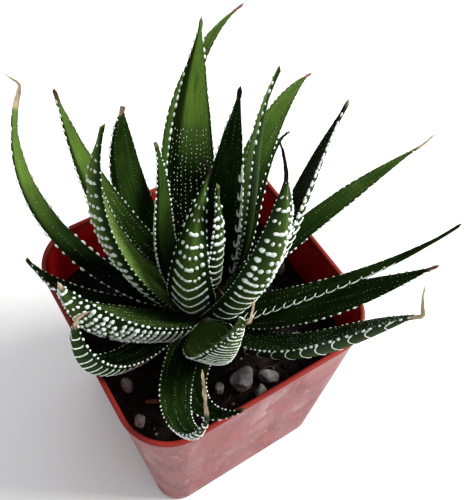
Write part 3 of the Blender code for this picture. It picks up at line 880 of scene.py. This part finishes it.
skin = makeLeafSkin()
tubercles = makeTubercleWhite()
faceDots = makeFaceDotPale()
for number, (node, values) in enumerate(leafPieces.items()):
    makeLeaf(number, node, values, [skin, tubercles, faceDots])
print("leaves grown:", len(leafPieces))


# Pot

potForm = {
    "height": 80 * mm,
    "topHalf": 35 * mm,
    "baseHalf": 30 * mm,
    "topCorner": 13 * mm,
    "baseCorner": 8 * mm,
    "wall": 1.0 * mm,
    "floor": 1.5 * mm,
    "footRound": 0.8 * mm,
    "bead": 0.35 * mm,          # how far the rim stands out, and its height
    "beadHeight": 2.0 * mm,
    "cornerSteps": 14,
    "sideSteps": 8,
    "wallRings": 9,
    "holeRadius": 3.5 * mm,
    "holeOffset": 17 * mm,
    "insideLevels": (76, 72, 66, 60, 40, 20, 1.5),      # rings down the inside, in millimetres
    # colours, where a list is a ramp of (place, colour)
    "wallColour": [(0.3, (0.150, 0.0035, 0.004)), (0.7, (0.225, 0.006, 0.005))],
    "insideColour": [(0.3, (0.46, 0.008, 0.012)), (0.7, (0.56, 0.012, 0.015))],
    # orange-red of the lip, partly painted highlight of light through the thin plastic
    "rimGlowColour": (0.21, 0.024, 0.018),
    "dustColour": [(0.35, (0.23, 0.110, 0.116)), (0.70, (0.38, 0.235, 0.240))],
    "fleckColour": (0.56, 0.42, 0.42),
    "barePatchSpot": (20, -35, 73),        # patch on the front wall without bloom, in millimetres
}


def roundedSquare(half, corner, cornerSteps, sideSteps):
    # flat outline, anticlockwise from the +X side
    points = []
    straight = 2 * (half - corner)
    for quarter in range(4):
        turn = quarter * math.pi / 2
        signX = 1 if quarter in (0, 3) else -1
        signY = 1 if quarter in (0, 1) else -1
        for step in range(cornerSteps + 1):
            angle = turn + step / cornerSteps * math.pi / 2
            x = signX * (half - corner) + corner * math.cos(angle)
            y = signY * (half - corner) + corner * math.sin(angle)
            points.append((x, y))
        for step in range(1, sideSteps):
            away = straight * step / sideSteps
            points.append((x - math.cos(turn) * away, y - math.sin(turn) * away))
    return points


def potOutline(level, offset):
    p = potForm
    share = level / p["height"]
    half = p["baseHalf"] + (p["topHalf"] - p["baseHalf"]) * share + offset
    corner = p["baseCorner"] + (p["topCorner"] - p["baseCorner"]) * share + offset
    return roundedSquare(half, corner, p["cornerSteps"], p["sideSteps"])


def loft(bm, rings):
    # join rings of equal count into a wall
    for lower, upper in zip(rings, rings[1:]):
        for i in range(len(lower)):
            j = (i + 1) % len(lower)
            bm.faces.new((lower[i], lower[j], upper[j], upper[i]))


def potProfile():
    # (level, offset, outside, rim) from the underside's edge up, over the rim and down inside
    p = potForm
    rows = []
    foot = p["footRound"]
    # rounded foot, plain wall, step out to the rim bead, round lip, inside
    for step in range(5):
        angle = step / 4 * math.pi / 2
        rows.append((foot * (1 - math.cos(angle)), -foot * (1 - math.sin(angle)), 1, 0))
    neck = p["height"] - p["beadHeight"]
    for step in range(1, p["wallRings"] + 1):
        rows.append((foot + (neck - foot) * step / p["wallRings"], 0, 1, 0))
    for step in range(1, 4):
        angle = step / 3 * math.pi / 2
        rows.append((neck + p["bead"] * math.sin(angle), p["bead"] * (1 - math.cos(angle)), 1, step / 3))
    thick = p["wall"] + p["bead"]
    for step in range(7):
        angle = step / 6 * math.pi
        offset = p["bead"] - thick / 2 + thick / 2 * math.cos(angle)
        rows.append((p["height"] - 0.5 * mm * (1 - math.sin(angle)), offset, 1 - step / 6, 1))
    for level in p["insideLevels"]:
        rows.append((level * mm, -p["wall"], 0, 0))
    return rows


def makePotPlastic():
    p = potForm
    plastic = Surface("red pot plastic", coat=0.03, coatRoughness=0.3, specular=0.14)
    outside = plastic.layer("outside")
    rim = plastic.layer("rim")
    where = plastic.place()
    level = plastic.add("ShaderNodeSeparateXYZ", None, {"Vector": where}, out="Z")
    wall = plastic.ramp(plastic.noise(where, 0.08), p["wallColour"])
    inside = plastic.ramp(plastic.noise(where, 0.10), p["insideColour"])
    red = plastic.blend(outside, inside, wall)
    # the lip turns orange-red, partly painted highlight
    red = plastic.blend(rim, red, p["rimGlowColour"])
    # lime and dust bloom on the outer wall, wiped away in cloudy streaks
    cloud = plastic.noise(plastic.place((1, 1, 0.5)), 0.045, detail=2.0, roughness=0.45)
    wisps = plastic.noise(plastic.place((1, 1, 0.4), (11, 4, 7)), 0.075, detail=2.5, roughness=0.45)
    speck = plastic.noise(where, 1.7, roughness=0.7)
    wiped = plastic.step(cloud * 0.62 + wisps * 0.38, 0.42, 0.58)
    # the bloom thins out round that patch
    away = plastic.add("ShaderNodeVectorMath", {"operation": "DISTANCE"}, {0: where, 1: p["barePatchSpot"]},
                       out="Value")
    barePatch = plastic.step(away + (cloud - 0.5) * 26 + (wisps - 0.5) * 14, 6.0, 17.0)
    collar = plastic.step(level, 79.3, 78.2)
    # redder streaks down the wall
    run = plastic.noise(plastic.place((1, 1, 0.30), (2, 7, 5)), 0.17, detail=5.0, roughness=0.62, bend=0.4)
    streaks = plastic.step(run, 0.49, 0.58)
    bloom = (outside * (1 - rim) * collar * barePatch * (0.50 + 0.44 * wiped)
             * (1 - 0.86 * streaks) * (0.93 + 0.14 * speck))
    dust = plastic.ramp(plastic.noise(plastic.place((1, 1, 0.4), (8, 1, 6)), 0.10), p["dustColour"])
    colour = plastic.blend(bloom, red, dust)
    # and pale flecks in the bloom
    flecks = plastic.step(plastic.noise(plastic.place((1, 1, 0.6), (4, 4, 4)), 0.42), 0.61, 0.72)
    colour = plastic.blend(bloom * flecks * 0.40, colour, p["fleckColour"])
    scratches = plastic.noise(plastic.place((1, 1, 0.15), (3, 9, 0)), 1.3)
    rough = 0.34 + bloom * 0.45 + (speck - 0.5) * 0.12
    height = scratches * 0.3 + speck * 0.4 + cloud
    return plastic.finish(colour=colour, roughness=rough, normal=plastic.bump(height, 0.08, 0.5))


def makePot():
    p = potForm
    bm = bmesh.new()
    outsideLayer = bm.verts.layers.float.new("outside")
    rimLayer = bm.verts.layers.float.new("rim")
    rings = []
    for level, offset, outside, rim in potProfile():
        ring = []
        for x, y in potOutline(level, offset):
            vert = bm.verts.new((x, y, level))
            vert[outsideLayer] = outside
            vert[rimLayer] = rim
            ring.append(vert)
        rings.append(ring)
    loft(bm, rings)
    bm.faces.new(list(reversed(rings[0])))
    bm.faces.new(rings[-1])
    bmesh.ops.recalc_face_normals(bm, faces=bm.faces)
    pot = newObject("pot blank", toMesh(bm, "pot blank"))
    cutters = []
    for signX in (-1, 1):
        for signY in (-1, 1):
            cutBm = bmesh.new()
            spot = Matrix.Translation((signX * p["holeOffset"], signY * p["holeOffset"], 0))
            bmesh.ops.create_cone(cutBm, cap_ends=True, segments=40, radius1=p["holeRadius"],
                                  radius2=p["holeRadius"], depth=4 * p["floor"], matrix=spot)
            cutters.append(newObject("drain", toMesh(cutBm, "drain")))
            cut = pot.modifiers.new("drain", "BOOLEAN")
            cut.operation = "DIFFERENCE"
            cut.solver = "EXACT"
            cut.object = cutters[-1]
    # the holes are kept in the mesh, and their cutters go
    shown = pot.evaluated_get(bpy.context.evaluated_depsgraph_get())
    mesh = bpy.data.meshes.new_from_object(shown)
    for done in (pot, *cutters):
        bpy.data.objects.remove(done, do_unlink=True)
    mesh.materials.clear()
    mesh.materials.append(makePotPlastic())
    mesh.shade_smooth()
    mesh.set_sharp_from_angle(angle=math.radians(40))
    showPiece("pot_shell", mesh, "pot")


makePot()
print("pot made")


# Soil

soilForm = {
    "seed": 7,
    "edgeLevel": 61.5 * mm,
    "mound": 2.2 * mm,
    "lump": 0.8 * mm,
    "lumpPitch": 7 * mm,
    "rings": 34,
    "gap": 0.3 * mm,            # to the pot's inside
    "holeRadius": 9.1 * mm,     # hole for the stem
    "holeFloor": 54.7 * mm,
    "roughness": 0.45 * mm,     # height of the fine crumbs of the surface itself
    "roughPitch": 1.6 * mm,
    "crumbs": (850, 0.25, 0.85),    # how many, least and greatest size in millimetres
    "grit": (70, 0.22, 0.65),
    "fibres": 46,
    "fibreSteps": 8,
    "fibreStep": 0.8 * mm,
    "spread": 31.5 * mm,        # loose parts lie within this square with round corners
    "spreadCorner": 10 * mm,
    "stemClear": 8.6 * mm,
    "fibreLimit": 32.5 * mm,
    "earthColour": [(0.30, (0.005, 0.0034, 0.003)), (0.52, (0.014, 0.009, 0.0075)),
                    (0.75, (0.046, 0.029, 0.024))],
    "gritColour": [(0.35, (0.10, 0.085, 0.075)), (0.65, (0.42, 0.40, 0.38))],
    "fibreColour": [(0.35, (0.06, 0.03, 0.02)), (0.65, (0.22, 0.13, 0.08))],
}


def soilLevel(x, y):
    s = soilForm
    reach = min(1.0, math.hypot(x, y) / potForm["topHalf"])
    lump = noise.noise(Vector((x, y, 0)) / s["lumpPitch"])
    return s["edgeLevel"] + s["mound"] * (1 - reach * reach) + s["lump"] * lump


def soilRelief(x, y):
    # low relief under the loose crumbs, never much above the even surface
    fine = noise.fractal(Vector((x, y, 0.4 * mm)) / soilForm["roughPitch"], 0.9, 2.1, 3)
    return soilForm["roughness"] * max(-1.0, min(0.6, fine))


def lumpPoints(chance, size, detail):
    # one irregular crumb about the origin
    bm = bmesh.new()
    bmesh.ops.create_icosphere(bm, subdivisions=detail, radius=1)
    seed = Vector(chance.uniform(0, 90, 3))
    stretch = Vector(chance.uniform(0.65, 1.15, 3))
    for vert in bm.verts:
        vert.co *= 1 + 0.45 * noise.noise(vert.co * 1.3 + seed)
        vert.co = Vector([vert.co[k] * stretch[k] * size for k in range(3)])
    return partsOf(bm)


def makeSoilEarth():
    earth = Surface("potting soil", specular=0.15)
    where = earth.place()
    coarse = earth.noise(where, 0.35, detail=4.0, roughness=0.6)
    fine = earth.noise(where, 2.2, detail=4.0, roughness=0.7)
    colour = earth.ramp(coarse * 0.6 + fine * 0.4, soilForm["earthColour"])
    damp = earth.step(coarse, 0.42, 0.60)
    return earth.finish(colour=colour, roughness=0.92 - damp * 0.42, normal=earth.bump(fine, 0.5, 0.8))


def makeGrit():
    grit = Surface("pale grit", specular=0.3)
    where = grit.place()
    colour = grit.ramp(grit.noise(where, 0.5), soilForm["gritColour"])
    fine = grit.noise(where, 4.0)
    return grit.finish(colour=colour, roughness=0.85 - fine * 0.1, normal=grit.bump(fine, 0.15, 0.7))


def makeFibre():
    fibre = Surface("dead root fibre", specular=0.3)
    tint = fibre.noise(fibre.place(), 0.8)
    colour = fibre.ramp(tint, soilForm["fibreColour"])
    return fibre.finish(colour=colour, roughness=0.8 + tint * 0.1, normal=fibre.bump(tint, 0.1, 0.5))


def soilSpot(chance):
    limit, corner = soilForm["spread"], soilForm["spreadCorner"]
    while True:
        x, y = chance.uniform(-limit, limit, 2)
        overX = max(0, abs(x) - (limit - corner))
        overY = max(0, abs(y) - (limit - corner))
        if math.hypot(overX, overY) < corner - 0.5 * mm and math.hypot(x, y) > soilForm["stemClear"]:
            return x, y


def soilBody():
    s = soilForm
    bm = bmesh.new()
    inset = -potForm["wall"] - s["gap"]
    low = potForm["floor"] + s["gap"]
    base = [bm.verts.new((x, y, low)) for x, y in potOutline(low, inset)]
    outline = potOutline(s["edgeLevel"], inset)
    rings = [base]
    for step in range(s["rings"] + 1):
        ring = []
        for x, y in outline:
            flat = Vector((x, y))
            spot = flat.lerp(flat.normalized() * s["holeRadius"], step / s["rings"])
            level = soilLevel(spot.x, spot.y) + (soilRelief(spot.x, spot.y) if step else 0)
            ring.append(bm.verts.new((spot.x, spot.y, level)))
        rings.append(ring)
    rings.append([bm.verts.new((v.co.x, v.co.y, s["holeFloor"])) for v in rings[-1]])
    loft(bm, rings)
    bm.faces.new(list(reversed(base)))
    bm.faces.new(rings[-1])
    bmesh.ops.recalc_face_normals(bm, faces=bm.faces)
    return partsOf(bm)


def addCrumbs(ground, chance):
    for finish, (count, low, high) in enumerate((soilForm["crumbs"], soilForm["grit"])):
        for _ in range(count):
            x, y = soilSpot(chance)
            size = (low + (high - low) * chance.random() ** 2.2) * mm
            lump, faces = lumpPoints(chance, size, 2 if size > 0.6 * mm else 1)
            spin = Matrix.Rotation(chance.uniform(0, 6.28), 3, "Z")
            spot = Vector((x, y, soilLevel(x, y) + size * 0.25))
            ground.add([spin @ p + spot for p in lump], faces, finish)


def addFibres(ground, chance):
    s = soilForm
    steps = s["fibreSteps"]
    sides = [(4 * i + k, 4 * i + (k + 1) % 4, 4 * i + 4 + (k + 1) % 4, 4 * i + 4 + k)
             for i in range(steps - 1) for k in range(4)]
    last = 4 * (steps - 1)
    ends = [(3, 2, 1, 0), (last, last + 1, last + 2, last + 3)]
    for _ in range(s["fibres"]):
        # a thin strand that lies on the soil
        x, y = soilSpot(chance)
        heading = chance.uniform(0, 6.28)
        strand = []
        for i in range(steps):
            spot = Vector((x, y, soilLevel(x, y) + (0.35 + 0.25 * math.sin(i * 0.9)) * mm))
            width = chance.uniform(0.07, 0.12) * mm
            turn = Vector((-math.sin(heading), math.cos(heading), 0))
            up = Vector((0, 0, width))
            strand += [spot + turn * width, spot + up, spot - turn * width, spot - up]     # one ring
            heading += chance.normal(0, 0.28)
            x += math.cos(heading) * s["fibreStep"]
            y += math.sin(heading) * s["fibreStep"]
        if max(abs(x), abs(y)) <= s["fibreLimit"]:
            ground.add(strand, sides + ends, 2)


def makeSoil():
    chance = np.random.default_rng(soilForm["seed"])
    ground = Gathered()
    ground.add(*soilBody(), 0)
    addCrumbs(ground, chance)
    addFibres(ground, chance)
    mesh = ground.build("soil_body", [makeSoilEarth(), makeGrit(), makeFibre()], 45)
    showPiece("soil_body", mesh, "soil")


makeSoil()
print("soil laid")


# Pebbles and bark

pebbleForm = {
    "seed": 500,
    "detail": 4,
    "roughness": 0.22,
    "flats": 11,                # worn breaks, and how far from the middle they lie
    "flatReach": (0.29, 0.42),
    "pits": 0.12,
    # length, width, height and turn of each pebble
    "sizes": [(8.2, 7.2, 5.2, 20), (5.8, 4.4, 3.6, -35), (4.4, 3.4, 3.2, 60), (3.6, 2.6, 2.6, 70),
              (4.6, 3.4, 2.8, 80), (4.4, 3.4, 2.6, 60), (4.6, 3.2, 2.6, -20), (6.0, 4.4, 3.6, 75),
              (5.4, 4.0, 3.2, 15), (5.6, 4.4, 3.4, 50), (5.8, 4.2, 3.4, 5), (5.4, 4.0, 3.2, -40)],
    # stone grey, kept dark partly as painted shade
    "stoneColour": [(0.30, (0.095, 0.087, 0.086)), (0.70, (0.27, 0.256, 0.252))],
    "speckColour": (0.05, 0.042, 0.04),
    "pitColour": (0.06, 0.045, 0.04),
}


def makePebbleStone():
    stone = Surface("pumice pebble", specular=0.3)
    where = stone.place()
    cloud = stone.noise(where, 0.28, detail=4.0, roughness=0.6)
    speck = stone.noise(where, 2.4, roughness=0.7)
    pits = stone.step(stone.cells(where, 1.5), 0.10, 0.34)
    colour = stone.ramp(cloud, pebbleForm["stoneColour"])
    colour = stone.blend(stone.step(speck, 0.60, 0.72) * 0.6, colour, pebbleForm["speckColour"])
    colour = stone.blend((1 - pits) * 0.6, colour, pebbleForm["pitColour"])
    return stone.finish(colour=colour, roughness=0.80 + (speck - 0.5) * 0.2,
                        normal=stone.bump(pits + speck * 0.5, 0.25, 0.8))


def makePebble(number, finish):
    p = pebbleForm
    node = f"pebble_{number}"
    low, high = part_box(node)
    length, width, height, turn = p["sizes"][number - 1]
    bm = bmesh.new()
    bmesh.ops.create_icosphere(bm, subdivisions=p["detail"], radius=0.5)
    seed = Vector((number * 3.7, number * 1.9, 0))
    chance = np.random.default_rng(p["seed"] + number)
    for _ in range(p["flats"]):
        # a worn break flattens one side
        facing = Vector(chance.normal(0, 1, 3)).normalized()
        reach = chance.uniform(*p["flatReach"])
        for vert in bm.verts:
            vert.co -= facing * max(0, vert.co.dot(facing) - reach) * 0.9
    for vert in bm.verts:
        # then soft unevenness and pits
        soft = noise.noise(vert.co * 2.4 + seed)
        pit = min(0.0, noise.noise(vert.co * 9 + seed) + 0.15)
        vert.co *= 1 + p["roughness"] * soft + p["pits"] * pit
    bmesh.ops.smooth_vert(bm, verts=bm.verts, factor=0.4, use_axis_x=True, use_axis_y=True, use_axis_z=True)
    size = Matrix.Diagonal((length * mm, width * mm, height * mm, 1))
    bmesh.ops.transform(bm, matrix=Matrix.Rotation(math.radians(turn), 4, "Z") @ size, verts=bm.verts)
    mesh = toMesh(bm, node)
    # the stone fills the box of its solid
    points = np.array([v.co for v in mesh.vertices])
    lowest, highest = points.min(0), points.max(0)
    points = (points - lowest) / (highest - lowest) * np.array(high - low) + np.array(low)
    mesh.vertices.foreach_set("co", points.ravel())
    mesh.materials.append(finish)
    mesh.shade_smooth()
    mesh.update()
    showPiece(f"stone_{number}", mesh, node)


barkForm = {
    "length": 9 * mm,
    "width": 1.4 * mm,
    "thickness": 1.0 * mm,
    "turn": -28,
    "steps": 26,
    "sides": 10,
    "colour": [(0.30, (0.060, 0.020, 0.012)), (0.55, (0.20, 0.070, 0.045)), (0.75, (0.33, 0.15, 0.10))],
}


def makeBarkWood():
    bark = Surface("red-brown bark", specular=0.3)
    grain = bark.noise(bark.place((0.5, 0.9, 2.0)), 1.6, detail=4.0, roughness=0.65)
    height = grain + bark.noise(bark.place(), 5.0) * 0.4
    return bark.finish(colour=bark.ramp(grain, barkForm["colour"]), roughness=0.75 + grain * 0.15,
                       normal=bark.bump(height, 0.3, 0.8))


def makeBark():
    b = barkForm
    low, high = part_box("bark_sliver")
    bm = bmesh.new()
    rows = []
    for step in range(b["steps"] + 1):
        share = step / b["steps"]
        slim = min(1.0, 6 * share + 0.35, 6 * (1 - share) + 0.25)
        ring = []
        for side in range(b["sides"]):
            angle = 2 * math.pi * side / b["sides"]
            cos, sin = math.cos(angle), math.sin(angle)
            x = (share - 0.5) * b["length"]
            y = math.copysign(abs(cos) ** 0.6, cos) * b["width"] / 2 * slim
            z = math.copysign(abs(sin) ** 0.6, sin) * b["thickness"] / 2 * slim
            rough = 0.85 + 0.3 * noise.noise(Vector((share * 5, cos * 2, sin * 2)))
            ring.append(bm.verts.new((x, y * rough, z * rough)))
        rows.append(ring)
    loft(bm, rows)
    bm.faces.new(list(reversed(rows[0])))
    bm.faces.new(rows[-1])
    place = Matrix.Translation((low + high) / 2) @ Matrix.Rotation(math.radians(b["turn"]), 4, "Z")
    bmesh.ops.transform(bm, matrix=place, verts=bm.verts)
    bmesh.ops.recalc_face_normals(bm, faces=bm.faces)
    mesh = toMesh(bm, "bark")
    mesh.materials.append(makeBarkWood())
    mesh.shade_smooth()
    showPiece("bark_chip", mesh, "bark_sliver")


stone = makePebbleStone()
for number in range(1, len(pebbleForm["sizes"]) + 1):
    makePebble(number, stone)
makeBark()
print("pebbles and bark placed")


# Stem keeps its solid

stemForm = {
    "colour": [(0.3, (0.030, 0.036, 0.014)), (0.6, (0.11, 0.10, 0.045)), (0.8, (0.20, 0.15, 0.085))],
    "stretch": (1, 1, 2.4),     # scars run round the stem
}


def dressStem():
    husk = Surface("stem husk", specular=0.3)
    scars = husk.noise(husk.place(stemForm["stretch"]), 0.5, detail=4.0, roughness=0.6)
    finish = husk.finish(colour=husk.ramp(scars, stemForm["colour"]), roughness=0.7 + scars * 0.2,
                         normal=husk.bump(scars, 0.5, 0.7))
    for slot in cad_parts["stem"].material_slots:
        slot.material = finish


dressStem()


# Floor, light and camera

stageForm = {
    "floorSize": 3.0,           # metres
    "floorDrop": 0.2 * mm,      # below the pot's underside
    "floorColour": (0.80, 0.80, 0.79),
    # each light: azimuth and height angle it comes from, distance, size, power, colour
    "lights": {
        "window": (334, 43, 0.9, 0.40, 12.8, (1.0, 0.985, 0.96)),
        "sky": (40, 70, 1.1, 0.9, 1.5, (0.94, 0.97, 1.0)),
    },
    "aim": (0.006, -0.004, 0.085),
    "world": (0.65, (0.95, 0.97, 1.0, 1)),     # strength and colour of light from all round
}

cameraForm = {
    # angles in degrees: round the object from the front, above the horizon, tilt
    "yaw": -35.2,
    "height": 57.3,
    "roll": 4.0,
    "distance": 162 * mm,
    "target": (6.3 * mm, -4.5 * mm, 98.0 * mm),
    "lens": 47.52,
    "sensor": 36.0,
}


def makeFloor():
    half = stageForm["floorSize"] / 2
    bm = bmesh.new()
    bm.faces.new([bm.verts.new((x * half, y * half, -stageForm["floorDrop"]))
                  for x, y in ((-1, -1), (1, -1), (1, 1), (-1, 1))])
    mesh = toMesh(bm, "floor")
    paper = Surface("pale floor", specular=0.2)
    cloud = paper.noise(paper.place(), 0.02, detail=2.0)
    pale = stageForm["floorColour"]
    colour = paper.ramp(cloud, [(0.3, tuple(0.97 * c for c in pale)), (0.7, pale)])
    mesh.materials.append(paper.finish(colour=colour, roughness=0.85 + cloud * 0.1))
    newObject("floor", mesh)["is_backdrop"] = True


def makeLights():
    aim = Vector(stageForm["aim"])
    for name, (azimuth, height, distance, size, power, colour) in stageForm["lights"].items():
        light = bpy.data.lights.new(name, "AREA")
        light.shape = "SQUARE"
        light.size = size
        light.energy = power
        light.color = colour
        lamp = newObject(name, light)
        a, e = math.radians(azimuth), math.radians(height)
        away = Vector((math.cos(a) * math.cos(e), math.sin(a) * math.cos(e), math.sin(e)))
        lamp.location = aim + away * distance
        lamp.rotation_euler = away.to_track_quat("Z", "Y").to_euler()
    world = bpy.data.worlds.new("studio")
    world.use_nodes = True
    allRound = world.node_tree.nodes["Background"].inputs
    allRound["Strength"].default_value, allRound["Color"].default_value = stageForm["world"]
    bpy.context.scene.world = world


def makeCamera():
    c = cameraForm
    yaw, height, roll = (math.radians(c[key]) for key in ("yaw", "height", "roll"))
    flat = math.cos(height)
    back = Vector((math.sin(yaw) * flat, -math.cos(yaw) * flat, math.sin(height)))
    right = Vector((math.cos(yaw), math.sin(yaw), 0))
    up = back.cross(right)
    rolledRight = math.cos(roll) * right + math.sin(roll) * up
    rolledUp = -math.sin(roll) * right + math.cos(roll) * up
    lens = bpy.data.cameras.new("photo view")
    lens.lens = c["lens"]
    lens.sensor_width = c["sensor"]
    lens.clip_start = 0.005
    camera = newObject("photo view", lens)
    turn = Matrix((rolledRight, rolledUp, back)).transposed()
    camera.matrix_world = Matrix.Translation(Vector(c["target"]) + back * c["distance"]) @ turn.to_4x4()
    bpy.context.scene.camera = camera


makeFloor()
makeLights()
makeCamera()
bpy.context.scene.view_settings.view_transform = "Standard"
bpy.context.scene.view_settings.look = "Medium High Contrast"
print("stage ready")

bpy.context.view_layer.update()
triangles = 0
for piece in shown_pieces():
    piece.data.calc_loop_triangles()
    triangles += len(piece.data.loop_triangles)
print("triangles shown:", triangles)
